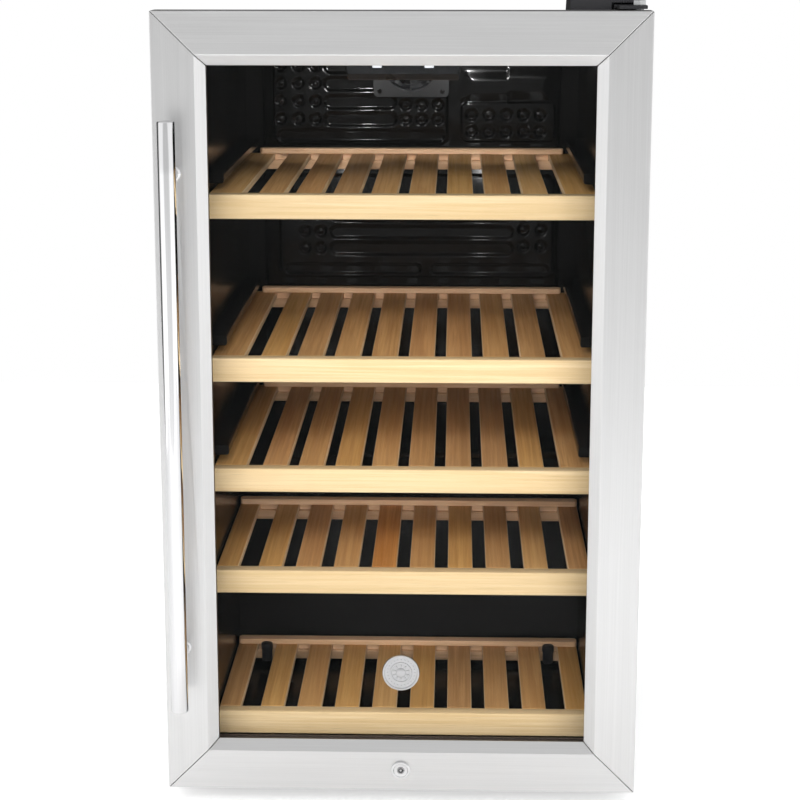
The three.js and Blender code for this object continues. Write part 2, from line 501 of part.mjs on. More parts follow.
// ---- shelves ------------------------------------------------------------------------
// half widths of the slats from the middle slot outwards, with the wide slot before the last
function slatEdges({ slot, pitch, out: [before, after] }) {
  const inner = [0, 1, 2, 3].map((k) => [pitch * k + slot / 2, pitch * (k + 1) - slot / 2]);
  inner[3][1] = before;
  const right = [...inner, [after, SHELF_HALF]];
  return [...right, ...right.map(([a, b]) => [-b, -a])];
}
SHELVES.forEach((shelf, i) => {
  const { z, rear } = shelf;
  const name = `shelf_${i + 1}`;
  const railBack = RAIL_Y + RAIL_D;
  const start = railBack + GAP;
  const end = shelfEnd(shelf);
  const low = z - SLAT_T;
  const chamfer = 1;
  add(`${name}_front_rail`, prism("x", [[RAIL_Y, z - RAIL_H + chamfer], [RAIL_Y + chamfer, z - RAIL_H],
    [railBack, z - RAIL_H], [railBack, z], [RAIL_Y + chamfer, z], [RAIL_Y, z - chamfer]],
  -SHELF_HALF, SHELF_HALF), PALE_WOOD, 0.55);
  const slats = slatEdges(shelf).map(([a, b]) => prism("y", [[a, low], [b, low], [b, z - chamfer],
    [b - chamfer, z], [a + chamfer, z], [a, z - chamfer]], start, end));
  const bars = [start, end - CROSS_D].map((y) =>
    box(-CROSS_HALF, CROSS_HALF, y, y + CROSS_D, low - CROSS_H, low + 0.01));
  add(`${name}_slats`, join(slats, bars), MID_WOOD, 0.6);
  const lift = 0.2;
  add(`${name}_rear_rail`, prism("z", rounded(-rear, rear, end - REAR_D, end, 4, 3), z + lift, z + lift + REAR_H),
    REAR_WOOD, 0.6);
});

export default root;
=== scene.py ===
import json
import math
import random

import bmesh
import bpy
from mathutils import Matrix, Vector


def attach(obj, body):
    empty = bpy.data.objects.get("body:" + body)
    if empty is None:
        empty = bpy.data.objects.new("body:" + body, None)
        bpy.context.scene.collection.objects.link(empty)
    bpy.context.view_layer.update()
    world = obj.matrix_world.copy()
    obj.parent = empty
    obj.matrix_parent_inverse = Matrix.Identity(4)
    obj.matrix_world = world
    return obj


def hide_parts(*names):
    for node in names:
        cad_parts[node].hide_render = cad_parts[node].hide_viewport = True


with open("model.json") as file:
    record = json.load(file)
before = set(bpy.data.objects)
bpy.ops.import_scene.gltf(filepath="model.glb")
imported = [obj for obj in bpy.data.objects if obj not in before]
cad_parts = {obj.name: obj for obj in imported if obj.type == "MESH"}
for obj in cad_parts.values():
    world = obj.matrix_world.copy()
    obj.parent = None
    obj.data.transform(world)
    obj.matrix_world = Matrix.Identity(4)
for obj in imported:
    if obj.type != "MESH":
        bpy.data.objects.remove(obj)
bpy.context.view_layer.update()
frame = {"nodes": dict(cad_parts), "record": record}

# Sizes are in millimetres, with x to the right, y back from the door's front face and z up from
# the floor. Camera, lamps and stage are in the row frame's metres.
MID_Y = 219.0  # how far the middle of the whole depth lies behind the door's front face
NODES = frame["nodes"]
BODY = {node: body for body, nodes in frame["record"]["behaviour"]["bodies"].items() for node in nodes}
rng = random.Random(7)


def pt(x, y, z):
    """A point in the row frame, in metres, from millimetres behind the door's front face."""
    return Vector((x / 1000, (y - MID_Y) / 1000, z / 1000))


# ---- node trees ----------------------------------------------------------------------
def rgba(value):
    """A colour with full alpha, from three numbers or from one grey."""
    return (*value, 1) if hasattr(value, "__len__") else (value, value, value, 1)


def tint(color, factor):
    return tuple(min(1.0, c * factor) for c in color)


class Tree:
    """Short names for making and linking the nodes of one material or world."""

    def __init__(self, owner):
        owner.use_nodes = True
        self.t = owner.node_tree
        self.t.nodes.clear()

    def n(self, kind, **props):
        node = self.t.nodes.new(kind)
        for k, v in props.items():
            setattr(node, k, v)
        return node

    def link(self, a, b):
        self.t.links.new(a, b)

    def range(self, value, a0, a1, b0, b1, kind="LINEAR"):
        """Takes a0 to a1 over to b0 to b1, clamped."""
        node = self.n("ShaderNodeMapRange", interpolation_type=kind)
        for i, v in enumerate((a0, a1, b0, b1)):
            node.inputs[i + 1].default_value = v
        self.link(value, node.inputs[0])
        return node.outputs[0]

    def math(self, operation, *values):
        """A sum, product or other operation on sockets and numbers."""
        node = self.n("ShaderNodeMath", operation=operation)
        for socket, value in zip(node.inputs, values):
            if isinstance(value, bpy.types.NodeSocket):
                self.link(value, socket)
            else:
                socket.default_value = value
        return node.outputs[0]


class Mat(Tree):
    """A material round one Principled shader; patterns are in the object's own metres."""

    def __init__(self, name, **sockets):
        self.m = bpy.data.materials.new(name)
        super().__init__(self.m)
        self.out = self.n("ShaderNodeOutputMaterial")
        self.b = self.n("ShaderNodeBsdfPrincipled")
        self.tc = self.n("ShaderNodeTexCoord")
        self.link(self.b.outputs[0], self.out.inputs[0])
        for k, v in sockets.items():
            self.set(k.replace("_", " "), v)

    def set(self, name, value):
        socket = self.b.inputs[name]
        socket.default_value = rgba(value) if hasattr(socket.default_value, "__len__") else value

    def coords(self, scale, offset=(0, 0, 0)):
        mapping = self.n("ShaderNodeMapping")
        mapping.inputs["Scale"].default_value = scale
        mapping.inputs["Location"].default_value = offset
        self.link(self.tc.outputs["Object"], mapping.inputs[0])
        return mapping.outputs[0]

    def noise(self, scale, offset=(0, 0, 0), detail=3.0, rough=0.55, distortion=0.0):
        """Noise whose scale is in cycles per metre along x, y and z."""
        node = self.n("ShaderNodeTexNoise")
        self.link(self.coords(scale, offset), node.inputs["Vector"])
        node.inputs["Scale"].default_value = 1.0
        node.inputs["Detail"].default_value = detail
        node.inputs["Roughness"].default_value = rough
        node.inputs["Distortion"].default_value = distortion
        return node.outputs[0]

    def ramp(self, value, *stops):
        node = self.n("ShaderNodeValToRGB")
        for element, (position, color) in zip(node.color_ramp.elements, stops):
            element.position = position
            element.color = rgba(color)
        self.link(value, node.inputs[0])
        return node.outputs[0]

    def mix(self, a, b, factor, mode="MIX"):
        node = self.n("ShaderNodeMix", data_type="RGBA", blend_type=mode)
        for socket, value in ((node.inputs[0], factor), (node.inputs[6], a), (node.inputs[7], b)):
            if isinstance(value, bpy.types.NodeSocket):
                self.link(value, socket)
            elif socket.type == "VALUE":
                socket.default_value = value
            else:
                socket.default_value = rgba(value)
        return node.outputs[2]

    def bump(self, height, strength, distance):
        node = self.n("ShaderNodeBump")
        node.inputs["Strength"].default_value = strength
        node.inputs["Distance"].default_value = distance
        self.link(height, node.inputs["Height"])
        self.link(node.outputs[0], self.b.inputs["Normal"])

    def color(self, value):
        self.link(value, self.b.inputs["Base Color"])

    def rough(self, value):
        self.link(value, self.b.inputs["Roughness"])


# ---- materials -----------------------------------------------------------------------
ALONG_X, ALONG_Y, ALONG_Z = 0, 1, 2


def stretched(across, length, along):
    """A noise scale with one frequency across the grain and a lower one along it."""
    scale = [across] * 3
    scale[along] = length
    return tuple(scale)


def brushed(name, along, base=(0.80, 0.80, 0.80), rough=0.33):
    """Stainless steel with its brushing along one axis."""
    m = Mat(name, Metallic=1.0)
    fine = m.noise(stretched(1400.0, 9.0, along), detail=2.0)
    broad = m.noise(stretched(160.0, 2.0, along), offset=(3, 1, 5))
    lines = m.ramp(fine, (0.3, tint(base, 0.945)), (0.7, base))
    m.color(m.mix(lines, m.ramp(broad, (0.3, 0.965), (0.7, 1.0)), 1.0, "MULTIPLY"))
    m.rough(m.range(fine, 0.25, 0.75, rough - 0.05, rough + 0.06))
    m.bump(fine, 0.10, 0.0002)
    return m.m


def polished(name, base=(0.82, 0.82, 0.83), rough=0.12):
    """Bright metal with faint clouding and a trace of polishing lines."""
    m = Mat(name, Metallic=1.0)
    cloud = m.noise((60, 60, 8), detail=4.0)
    m.color(m.ramp(cloud, (0.3, tint(base, 0.96)), (0.7, base)))
    m.rough(m.range(cloud, 0.3, 0.7, rough - 0.03, rough + 0.04))
    m.bump(m.noise((900, 900, 60), detail=2.0), 0.02, 0.0002)
    return m.m


def plastic(name, base, rough=0.4, grain=0.12, scale=1800.0, variation=0.12, shine=0.5):
    """Moulded plastic with a fine leathery texture."""
    m = Mat(name, Specular_IOR_Level=shine)
    leather = m.noise((scale,) * 3, detail=2.0)
    cloud = m.noise((7, 7, 7), detail=4.0, offset=(2, 4, 1))
    m.color(m.ramp(cloud, (0.3, tint(base, 1 - variation)), (0.7, tint(base, 1 + variation))))
    m.rough(m.range(cloud, 0.3, 0.7, rough - 0.04, rough + 0.06))
    m.bump(leather, grain, 0.0002)
    return m.m


def painted(name, base, rough=0.38, peel=0.10, metallic=0.0, shine=0.5):
    """Painted sheet with orange peel and faint handling marks."""
    m = Mat(name, Metallic=metallic, Specular_IOR_Level=shine)
    orange_peel = m.noise((420,) * 3, detail=1.0)
    cloud = m.noise((9, 9, 9), detail=5.0)
    m.color(m.ramp(cloud, (0.3, tint(base, 0.88)), (0.7, tint(base, 1.1))))
    m.rough(m.range(cloud, 0.3, 0.7, rough - 0.025, rough + 0.035))
    m.bump(orange_peel, peel, 0.0003)
    return m.m


def wood(name, light, dark, along, seed, rough=0.52, rings=1.0):
    """Wood with its grain along one axis: growth lines, streaks, fibres and pores."""
    m = Mat(name)
    offset = (seed * 1.37, seed * 0.71, seed * 2.11)
    warp = m.noise(stretched(14, 2.2, along), offset, detail=2.0)
    lines = m.n("ShaderNodeTexWave", wave_type="BANDS", bands_direction="DIAGONAL", wave_profile="SAW")
    m.link(m.coords(stretched(22 * rings, 0.9, along), offset), lines.inputs["Vector"])
    lines.inputs["Scale"].default_value = 1.0
    lines.inputs["Distortion"].default_value = 9.0
    lines.inputs["Detail"].default_value = 2.0
    lines.inputs["Detail Scale"].default_value = 0.8
    fibre = m.noise(stretched(430, 7, along), offset, rough=0.6)
    pores = m.noise(stretched(1500, 40, along), offset, detail=1.0)
    streak = m.noise(stretched(240, 4, along), offset, detail=4.0, rough=0.6, distortion=0.4)
    mid = tuple((a * 2 + b) / 3 for a, b in zip(light, dark))
    color = m.ramp(warp, (0.25, mid), (0.6, light))
    color = m.mix(color, dark, m.range(streak, 0.44, 0.62, 0.0, 0.62))
    color = m.mix(color, dark, m.range(lines.outputs[1], 0.2, 1.0, 0.0, 0.34))
    color = m.mix(color, dark, m.range(fibre, 0.47, 0.66, 0.0, 0.55))
    color = m.mix(color, tint(dark, 0.55), m.range(pores, 0.66, 0.8, 0.0, 0.4))
    m.color(color)
    m.rough(m.range(fibre, 0.3, 0.7, rough - 0.05, rough + 0.1))
    m.bump(fibre, 0.16, 0.0003)
    return m.m


def window_glass():
    """A nearly clear pane with a slight unevenness in its tint."""
    m = Mat("window_glass", Roughness=0.03, Alpha=0.022, IOR=1.5)
    cloud = m.noise((3, 3, 3), detail=2.0)
    m.color(m.ramp(cloud, (0.3, (0.010, 0.012, 0.012)), (0.7, (0.016, 0.019, 0.019))))
    return m.m


def lamp_lens():
    """A frosted lens with a little light of its own."""
    m = Mat("lamp_lens", Roughness=0.2, Emission_Color=(0.9, 0.95, 1.0), Emission_Strength=0.6)
    frost = m.noise((900, 900, 900), detail=1.0)
    m.color(m.ramp(frost, (0.3, (0.86, 0.88, 0.92)), (0.7, (0.94, 0.95, 0.98))))
    m.bump(frost, 0.1, 0.0003)
    return m.m


STEEL_V = brushed("steel_brushed_upright", ALONG_Z)
STEEL_H = brushed("steel_brushed_across", ALONG_X)
CHROME = polished("bright_metal")
BADGE_M = polished("badge_metal", (0.60, 0.60, 0.61), 0.30)
BAR_M = brushed("handle_metal", ALONG_Z, (0.88, 0.88, 0.89), 0.085)
PLUG_M = polished("key_plug_metal", (0.62, 0.62, 0.63), 0.22)
ZINC = painted("zinc_plate", (0.55, 0.56, 0.56), 0.34, 0.05, 1.0)
LINER_M = plastic("liner_black", (0.0065, 0.006, 0.0056), 0.20, 0.04, 900.0, shine=0.14)
# Black plastic; the same material is also the painted shade in the lock's keyway.
BLACK_AND_SHADE_M = plastic("moulded_black_and_painted_shade", (0.016, 0.016, 0.018), 0.42, 0.14)
SATIN_M = plastic("housing_black", (0.014, 0.015, 0.017), 0.28, 0.05, shine=0.3)
GRILLE_M = plastic("grille_black", (0.009, 0.009, 0.0095), 0.45, 0.10, shine=0.3)
KEY_M = plastic("key_grey", (0.10, 0.10, 0.11), 0.45, 0.1)
WRAP_M = painted("cabinet_black", (0.018, 0.018, 0.020), 0.36)
HINGE_M = painted("hinge_black", (0.020, 0.020, 0.022), 0.32, 0.05, 0.3)
PLATE_M = painted("evaporator_black", (0.0040, 0.0037, 0.0035), 0.12, 0.02, shine=0.17)
COOL_M = painted("compressor_black", (0.018, 0.018, 0.019), 0.30, 0.16)
COPPER = polished("copper", (0.80, 0.42, 0.26), 0.24)
FRAME_IN = plastic("inner_frame_brown", (0.085, 0.068, 0.056), 0.5, 0.1)
SEAL_M = plastic("gasket_rubber", (0.070, 0.055, 0.047), 0.7, 0.2, 1200.0)
FOAM_M = plastic("foam_cream", (0.72, 0.60, 0.36), 0.9, 0.5, 500.0, 0.15)
SPACER_M = polished("spacer_aluminium", (0.62, 0.62, 0.63), 0.35)
FOOT_M = plastic("foot_black", (0.02, 0.02, 0.02), 0.6, 0.2)
GLASS = window_glass()
LENS = lamp_lens()

RAIL_TONES = (0.90, 1.05, 1.01, 0.95, 1.05)
RAIL_LIGHT, RAIL_DARK = (0.95, 0.735, 0.445), (0.77, 0.54, 0.26)
RAILS = [wood(f"rail_wood_{i}", tint(RAIL_LIGHT, tone), tint(RAIL_DARK, tone), ALONG_X, 3.1 * i + 1,
              0.5, 0.7) for i, tone in enumerate(RAIL_TONES)]
SLAT_TONES = [
    ((0.72, 0.415, 0.165), (0.50, 0.255, 0.085)),
    ((0.66, 0.375, 0.155), (0.44, 0.23, 0.08)),
    ((0.79, 0.485, 0.20), (0.56, 0.305, 0.105)),
    ((0.70, 0.385, 0.155), (0.47, 0.235, 0.085)),
    ((0.75, 0.435, 0.155), (0.53, 0.275, 0.075)),
    ((0.62, 0.355, 0.155), (0.42, 0.22, 0.08)),
    ((0.72, 0.34, 0.095), (0.48, 0.19, 0.045)),  # the one reddish slat
]
SLATS = [wood(f"slat_wood_{i}", light, dark, ALONG_Y, 5.3 * i + 2, 0.5, 1.2)
         for i, (light, dark) in enumerate(SLAT_TONES)]
REARS = [wood(f"rear_rail_wood_{i}", (0.90, 0.62, 0.40), (0.66, 0.41, 0.22), ALONG_X, 4.7 * i + 9, 0.5)
         for i in range(2)]
CROSS = wood("cross_bar_wood", (0.78, 0.52, 0.32), (0.55, 0.34, 0.18), ALONG_X, 12.0, 0.6)
# A lighter wood for the slats' sides: a painted highlight where the light catches them.
SLAT_SIDE_HIGHLIGHT = wood("slat_side_painted_highlight_wood", (0.90, 0.70, 0.44), (0.66, 0.45, 0.24), ALONG_Y, 8.0, 0.5)


# ---- mesh helpers --------------------------------------------------------------------
def finish_mesh(name, bm, body, materials, replaces=(), smooth=True, angle=35.0):
    """Makes an object of bm that rides its body, and marks what it replaces."""
    me = bpy.data.meshes.new(name)
    bm.to_mesh(me)
    bm.free()
    ob = bpy.data.objects.new(name, me)
    bpy.context.scene.collection.objects.link(ob)
    for material in materials if isinstance(materials, list) else [materials]:
        me.materials.append(material)
    if smooth:
        for face in me.polygons:
            face.use_smooth = True
        me.set_sharp_from_angle(angle=math.radians(angle))
    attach(ob, body)
    if replaces:
        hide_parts(*replaces)
    return ob


def soften(node, material, width=0.6, segments=2, angle=28.0, smooth=True):
    """The CAD node's own shape with its edges rounded as the real piece's are."""
    bm = bmesh.new()
    bm.from_mesh(NODES[node].data)
    bmesh.ops.remove_doubles(bm, verts=bm.verts, dist=1e-6)
    bmesh.ops.dissolve_limit(bm, angle_limit=math.radians(2.0), verts=bm.verts, edges=bm.edges)
    ob = finish_mesh(f"{node}_skin", bm, BODY[node], material, [node], smooth, angle)
    mod = ob.modifiers.new("edges", "BEVEL")
    mod.width = width / 1000
    mod.segments = segments
    mod.limit_method = "ANGLE"
    mod.angle_limit = math.radians(angle)
    mod.harden_normals = smooth
    mod.use_clamp_overlap = True


def rbox(bm, xs, ys, zs, r=0.6, segments=2, slot_index=0):
    """Adds to bm a box with rounded edges between two ends on each axis."""
    box = bmesh.new()
    bmesh.ops.create_cube(box, size=1.0)
    for v in box.verts:
        v.co = pt(*(lo + (u + 0.5) * (hi - lo) for u, (lo, hi) in zip(v.co, (xs, ys, zs))))
    if r:
        bmesh.ops.bevel(box, geom=list(box.edges) + list(box.verts), offset=r / 1000,
                        segments=segments, profile=0.5, affect="EDGES")
    for face in box.faces:
        face.material_index = slot_index
    me = bpy.data.meshes.new("box")
    box.to_mesh(me)
    box.free()
    bm.from_mesh(me)
    bpy.data.meshes.remove(me)


def spin(bm, profile, axis, centre, n):
    """Adds to bm the (radius, distance) profile turned about the y or z axis through centre."""
    rings = []
    for r, h in profile:
        ring = []
        for k in range(n if r > 1e-6 else 1):
            a = 2 * math.pi * k / n
            c, s = r * math.cos(a), r * math.sin(a)
            v = (s, h, c) if axis == "y" else (c, s, h)
            ring.append(bm.verts.new(pt(*(u + w for u, w in zip(v, centre)))))
        rings.append(ring)
    for a, b in zip(rings, rings[1:]):
        for k in range(n):
            j = (k + 1) % n
            corners = (a[k % len(a)], a[j % len(a)], b[j % len(b)], b[k % len(b)])
            corners = list(dict.fromkeys(corners))
            if len(corners) > 2:
                bm.faces.new(corners)


def outward(bm):
    bmesh.ops.recalc_face_normals(bm, faces=bm.faces)
    return bm


SCREW_HIGH, SCREW_SUNK = 1.2, 0.2


def screw(name, centre, facing, r, material):
    """A pan-head screw with a dished middle; facing is -1 to the front or 1 to the back."""
    head = [(0, 0.72), (0.28, 0.72), (0.34, 1.0), (0.7, 0.86), (1.0, 0.3)]
    profile = [(r * across, SCREW_HIGH * facing * up) for across, up in head]
    profile += [(r, -SCREW_SUNK * facing), (0, -SCREW_SUNK * facing)]
    bm = bmesh.new()
    spin(bm, profile, "y", centre, 20)
    finish_mesh(name, outward(bm), "cabinet", material)


# ---- door ----------------------------------------------------------------------------
HANDLE_X, HANDLE_Y = -204.5, -34.0
HANDLE_LOW, HANDLE_TOP = 114.0, 662.0
HANDLE_R, HANDLE_EASE = 8.0, 1.2
HANDLE_BANDS = 12
HANDLE_POSTS = (("upper", 612.0), ("lower", 164.0))
BADGE_Z = 138.0
BADGE_BACK = 7.3  # where the dots and petals sit
DOTS, DOT_CIRCLE = 24, 12.95
PETALS, PETAL_CIRCLE, PETAL_SIZE = 10, 6.6, (0.9, 0.7, 2.0)
LOCK_Z = 42.6
# The keyway's radii and mouth bound the part that is painted black as shade.
KEYWAY_IN, KEYWAY_OUT, KEYWAY_MOUTH = 1.25, 2.4, -1.3


def door_panel():
    """The frame strips, inner frame, gasket and double glazing."""
    for side, material in (("top", STEEL_H), ("bottom", STEEL_H), ("left", STEEL_V), ("right", STEEL_V)):
        soften(f"frame_strip_{side}", material, 0.8, 3)
    soften("door_inner_frame", FRAME_IN, 0.8)
    soften("door_gasket", SEAL_M, 0.8)
    for pane in ("glass_outer", "glass_inner"):
        soften(pane, GLASS, 0.4, 1)
    soften("glass_spacer", SPACER_M, 0.3, 1)


def handle():
    """The round bar with eased ends, and its two stems with a collar against the door."""
    end = [(0, 0), (6.6, 0), (7.5, 0.35)]
    low, top = HANDLE_LOW + HANDLE_EASE, HANDLE_TOP - HANDLE_EASE
    profile = [(r, HANDLE_LOW + h) for r, h in end]
    profile += [(HANDLE_R, low + (top - low) * i / HANDLE_BANDS) for i in range(HANDLE_BANDS + 1)]
    profile += [(r, HANDLE_TOP - h) for r, h in reversed(end)]
    bm = bmesh.new()
    spin(bm, profile, "z", (HANDLE_X, HANDLE_Y, 0), 64)
    finish_mesh("handle_bar_tube", outward(bm), "door", BAR_M, ["handle_bar"])
    stem = [(0, HANDLE_Y), (5.5, HANDLE_Y), (5.5, -26), (5.5, -4), (5.7, -2.5), (7.2, -1.6),
            (7.6, -1.0), (7.6, -0.2), (3, -0.2), (3, 9), (0, 9)]
    for part, level in HANDLE_POSTS:
        bm = bmesh.new()
        spin(bm, stem, "y", (HANDLE_X, 0, level), 40)
        finish_mesh(f"handle_stem_{part}", outward(bm), "door", CHROME, [f"handle_post_{part}"])


def badge():
    """A disc with a raised rim and middle, a circle of dots and a rosette of petals."""
    disc = [(0, 6.3), (3.4, 6.3), (4.4, 6.7), (4.8, 7.2), (8.6, 7.2), (9.0, 6.6), (10.3, 6.6), (10.7, 7.2),
            (15.2, 7.2), (15.7, 6.4), (16.4, 6.2), (17.3, 6.4), (17.7, 7.0), (17.7, 8.0), (0, 8.0)]
    dot = [(0, 6.75), (0.62, 6.85), (0.9, BADGE_BACK), (0, BADGE_BACK)]
    bm = bmesh.new()
    spin(bm, disc, "y", (0, 0, BADGE_Z), 72)
    for k in range(DOTS):
        a = 2 * math.pi * k / DOTS
        spin(bm, dot, "y", (DOT_CIRCLE * math.cos(a), 0, BADGE_Z + DOT_CIRCLE * math.sin(a)), 10)
    middle = Matrix.Translation(pt(0, BADGE_BACK, BADGE_Z))
    petal = Matrix.Translation((0, 0, PETAL_CIRCLE / 1000))
    petal @= Matrix.Diagonal((*(size / 1000 for size in PETAL_SIZE), 1))
    for k in range(PETALS):
        place = middle @ Matrix.Rotation(2 * math.pi * k / PETALS, 4, "Y") @ petal
        bmesh.ops.create_uvsphere(bm, u_segments=16, v_segments=10, radius=1.0, matrix=place)
    finish_mesh("badge_disc", outward(bm), "door", BADGE_M, ["badge"])


def lock_barrel():
    """The hollow barrel through the bottom strip, with a rounded collar in front."""
    profile = [(3.5, 39), (3.5, -1.0), (5.6, -1.1), (6.4, -1.3), (6.9, -1.9), (8.4, -2.0), (9.1, -1.6),
               (9.3, -0.9), (9.3, -0.3), (7.5, -0.3), (7.5, 39.8), (3.6, 39.8), (3.5, 39)]
    bm = bmesh.new()
    spin(bm, profile, "y", (0, 0, LOCK_Z), 56)
    finish_mesh("lock_barrel_turned", outward(bm), "door", CHROME, ["lock_barrel"])


def lock_plug():
    """A tubular-key plug: a round keyway with its pin in the middle, its walls and bottom painted black as
    shade, and the cam on its end.
    """
    profile = [(0, -1.4), (1.05, -1.4), (1.3, -1.15), (1.3, 1.6), (2.35, 1.6), (2.35, -1.2), (2.5, -1.4),
               (2.95, -1.4), (3.2, -1.15), (3.2, 46), (0, 46)]
    bm = bmesh.new()
    spin(bm, profile, "y", (0, 0, LOCK_Z), 40)
    rbox(bm, (2.2, 2.9), (-1.4, 1.4), (LOCK_Z - 0.5, LOCK_Z + 0.5), 0.0)
    # The keyway's walls and bottom take the black slot: painted shade in the recess.
    for face in bm.faces:
        c = (face.calc_center_median() - pt(0, 0, LOCK_Z)) * 1000
        if KEYWAY_IN < math.hypot(c.x, c.z) < KEYWAY_OUT and c.y > KEYWAY_MOUTH:
            face.material_index = 1
    rbox(bm, (-14, 3.3), (45, 47.5), (LOCK_Z - 3.3, LOCK_Z + 3.3), 1.2, 2)
    finish_mesh("lock_plug_turned", outward(bm), "lock", [PLUG_M, BLACK_AND_SHADE_M], ["lock_cylinder"])


door_panel()
handle()
badge()
lock_barrel()
lock_plug()

# ---- shelves -------------------------------------------------------------------------
DECK_HALF, DECK_FRONT, DECK_THICK = 181.5, 78.3, 7.0
RAIL_Y, RAIL_HIGH = (63, 78), 23.0
CROSS_HALF, CROSS_LOW, CROSS_TOP = 167.0, 17.0, 7.02
CROSS_DEPTH_FRONT, CROSS_DEPTH_REAR = 14.0, 9.0
SPACER_DEPTH = 6.0
RED_SHELF, RED_BOARD = 4, 4
# For each shelf: level of its top, length of its slats, width and pitch of its slots, and the two
# edges of the outermost slot.
SHELVES = [
    (585.1, 344.7, 10.7, 35.4, (135.5, 151)),
    (429.4, 344.7, 10.7, 35.4, (135.5, 151)),
    (321.4, 344.7, 10.7, 35.4, (135.5, 151)),
    (219.5, 221, 13, 37.1, (141.1, 160.5)),
    (74.5, 183, 13, 37.1, (141.1, 160.5)),
]
PEG_BACK = 13.0  # how far the pegs stand in front of the slats' rear ends


def shelf(number, level, length, gap, pitch, outer):
    """A pale front rail, slats on two cross bars with a painted highlight on their sides, spacers in the
    slots and a rear rail.
    """
    body = f"shelf_{number}"
    front, rear = DECK_FRONT, DECK_FRONT + length
    rear_wood = REARS[(number - 1) % 2]

    bm = bmesh.new()
    rbox(bm, (-DECK_HALF, DECK_HALF), RAIL_Y, (level - RAIL_HIGH, level), 1.3, 3)
    finish_mesh(f"{body}_rail", bm, body, RAILS[number - 1], [f"{body}_front_rail"])

    half = [(pitch * k + gap / 2, pitch * (k + 1) - gap / 2) for k in range(3)]
    half += [(pitch * 3 + gap / 2, outer[0]), (outer[1], DECK_HALF)]
    boards = sorted([(-b, -a) for a, b in half] + half)
    tones = [rng.randrange(len(SLATS) - 1) for _ in boards]
    if number == RED_SHELF:
        tones[RED_BOARD] = len(SLATS) - 1
    bm = bmesh.new()
    for k, board in enumerate(boards):
        rbox(bm, board, (front, rear), (level - DECK_THICK, level), 1.1, 3, k)
    # The slats' sides take the lighter wood, a painted highlight.
    for face in bm.faces:
        if abs(face.normal.x) > 0.6:
            face.material_index = len(boards)
    woods = [SLATS[tone] for tone in tones] + [SLAT_SIDE_HIGHLIGHT]
    finish_mesh(f"{body}_deck", bm, body, woods, [f"{body}_slats"])

    bars = (("front", front, CROSS_DEPTH_FRONT), ("rear", rear - CROSS_DEPTH_REAR, CROSS_DEPTH_REAR))
    for label, y, depth in bars:
        bm = bmesh.new()
        rbox(bm, (-CROSS_HALF, CROSS_HALF), (y, y + depth), (level - CROSS_LOW, level - CROSS_TOP), 0.8, 2)
        finish_mesh(f"{body}_cross_{label}", bm, body, CROSS)

    bm = bmesh.new()
    ys, zs = (rear - SPACER_DEPTH, rear - 0.3), (level - DECK_THICK, level - 0.2)
    for (_, a), (b, _) in zip(boards, boards[1:]):
        rbox(bm, (a + 0.2, b - 0.2), ys, zs, 0.5, 1)
    finish_mesh(f"{body}_spacers", bm, body, rear_wood)
    soften(f"{body}_rear_rail", rear_wood, 0.9, 3)


def shelf_pegs():
    """The black stop pegs in the two outermost slots of the bottom shelf."""
    level, length, _, _, outer = SHELVES[4]
    x, y = sum(outer) / 2, DECK_FRONT + length - PEG_BACK
    profile = [(0, 4), (3.4, 3.8), (5.6, 2.6), (6.3, 1), (6.3, -4), (5.6, -5), (5.6, -16.8), (0, -16.8)]
    for side, sign in (("left", -1), ("right", 1)):
        bm = bmesh.new()
        spin(bm, profile, "z", (sign * x, y, level), 24)
        finish_mesh(f"shelf_5_peg_{side}", outward(bm), "shelf_5", BLACK_AND_SHADE_M)


for number, sizes in enumerate(SHELVES, 1):
    shelf(number, *sizes)
shelf_pegs()

# ---- cabinet -------------------------------------------------------------------------
SCREW_COLUMNS = (-211, 0, 211)
PANEL_SCREWS = (("rear_panel", 475.5, (246, 480, 726)), ("machine_cover", 475.8, (44, 222)))
PANEL_SCREW_R = 4.0


def cabinet():
    """The cabinet's shell, control housing, hinges, keeper and feet."""
    soften("outer_wrap", WRAP_M, 0.5)
    soften("rear_panel", WRAP_M, 0.4, smooth=False)
    soften("machine_cover", WRAP_M, 0.3, 1)
    soften("base_pan", ZINC, 0.3, 1)
    soften("liner", LINER_M, 1.2, 2)
    soften("foam_insulation", FOAM_M, 1.0, 1)
    soften("power_inlet", BLACK_AND_SHADE_M, 0.5)
    soften("control_housing", SATIN_M, 1.2, 3)
    for side in ("left", "right"):
        soften(f"lamp_lens_{side}", LENS, 0.3, 2)
    for button in ("cooler", "warmer", "light"):
        soften(f"button_{button}", KEY_M, 0.4, 2)
    soften("top_hinge_bracket", HINGE_M, 0.4)
    soften("top_hinge_cover", BLACK_AND_SHADE_M, 1.4, 3)
    soften("top_hinge_pin", ZINC, 0.4)
    soften("bottom_hinge_bracket", ZINC, 0.4)
    soften("lock_keeper", ZINC, 0.3)
    for foot in ("levelling_foot_left", "levelling_foot_right", "rear_foot_left", "rear_foot_right"):
        soften(foot, FOOT_M, 0.8, 3)


def panel_screws():
    for panel, face, levels in PANEL_SCREWS:
        places = [(x, face, level) for x in SCREW_COLUMNS for level in levels]
        for number, place in enumerate(places, 1):
            screw(f"{panel}_screw_{number}", place, 1, PANEL_SCREW_R, ZINC)


cabinet()
panel_screws()

